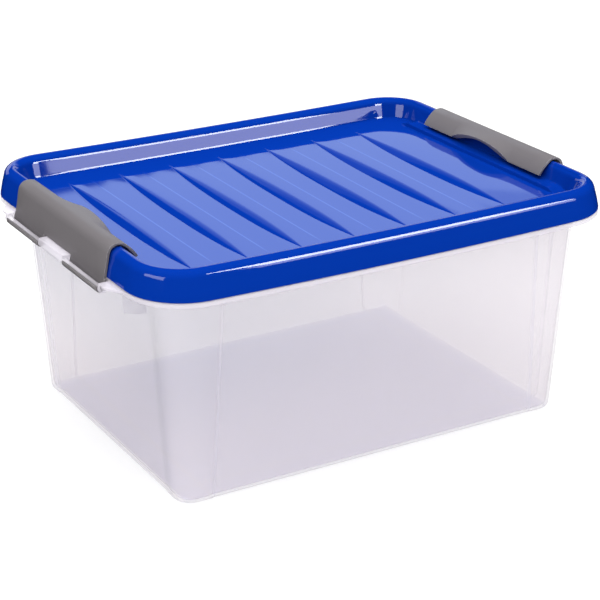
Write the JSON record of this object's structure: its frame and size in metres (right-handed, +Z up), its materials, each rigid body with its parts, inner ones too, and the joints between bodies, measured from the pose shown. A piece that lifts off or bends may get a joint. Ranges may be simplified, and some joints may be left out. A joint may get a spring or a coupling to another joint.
{
  "type": "clip storage box",
  "caption": "Tapered translucent storage box with a ribbed drop-on lid held by a swing latch on each short end.",
  "frame": {"origin": "middle of the tub's base, on the surface the box stands on", "axes": "+X along the long side towards latch_right, +Y across the box, +Z up"},
  "size_m": [0.4208, 0.311, 0.195],
  "materials": {
    "tub_frosted": "frosted translucent polypropylene",
    "lid_blue": "glossy blue polypropylene",
    "latch_grey": "satin grey polypropylene"
  },
  "bodies": {
    "tub": {"tub": "tub_frosted"},
    "lid": {"lid": "lid_blue"},
    "latch_left": {"latch_left": "latch_grey"},
    "latch_right": {"latch_right": "latch_grey"}
  },
  "joints": [
    {"name": "lid_lift", "type": "slide", "parent": "tub", "child": "lid", "axis": [0, 0, 1], "range_m": [0, 0.25]},
    {"name": "latch_left_swing", "type": "hinge", "parent": "tub", "child": "latch_left", "pos_m": [-0.2062, 0, 0.165], "axis": [0, -1, 0], "range_deg": [0, 135]},
    {"name": "latch_right_swing", "type": "hinge", "parent": "tub", "child": "latch_right", "pos_m": [0.2062, 0, 0.165], "axis": [0, 1, 0], "range_deg": [0, 135]}
  ]
}
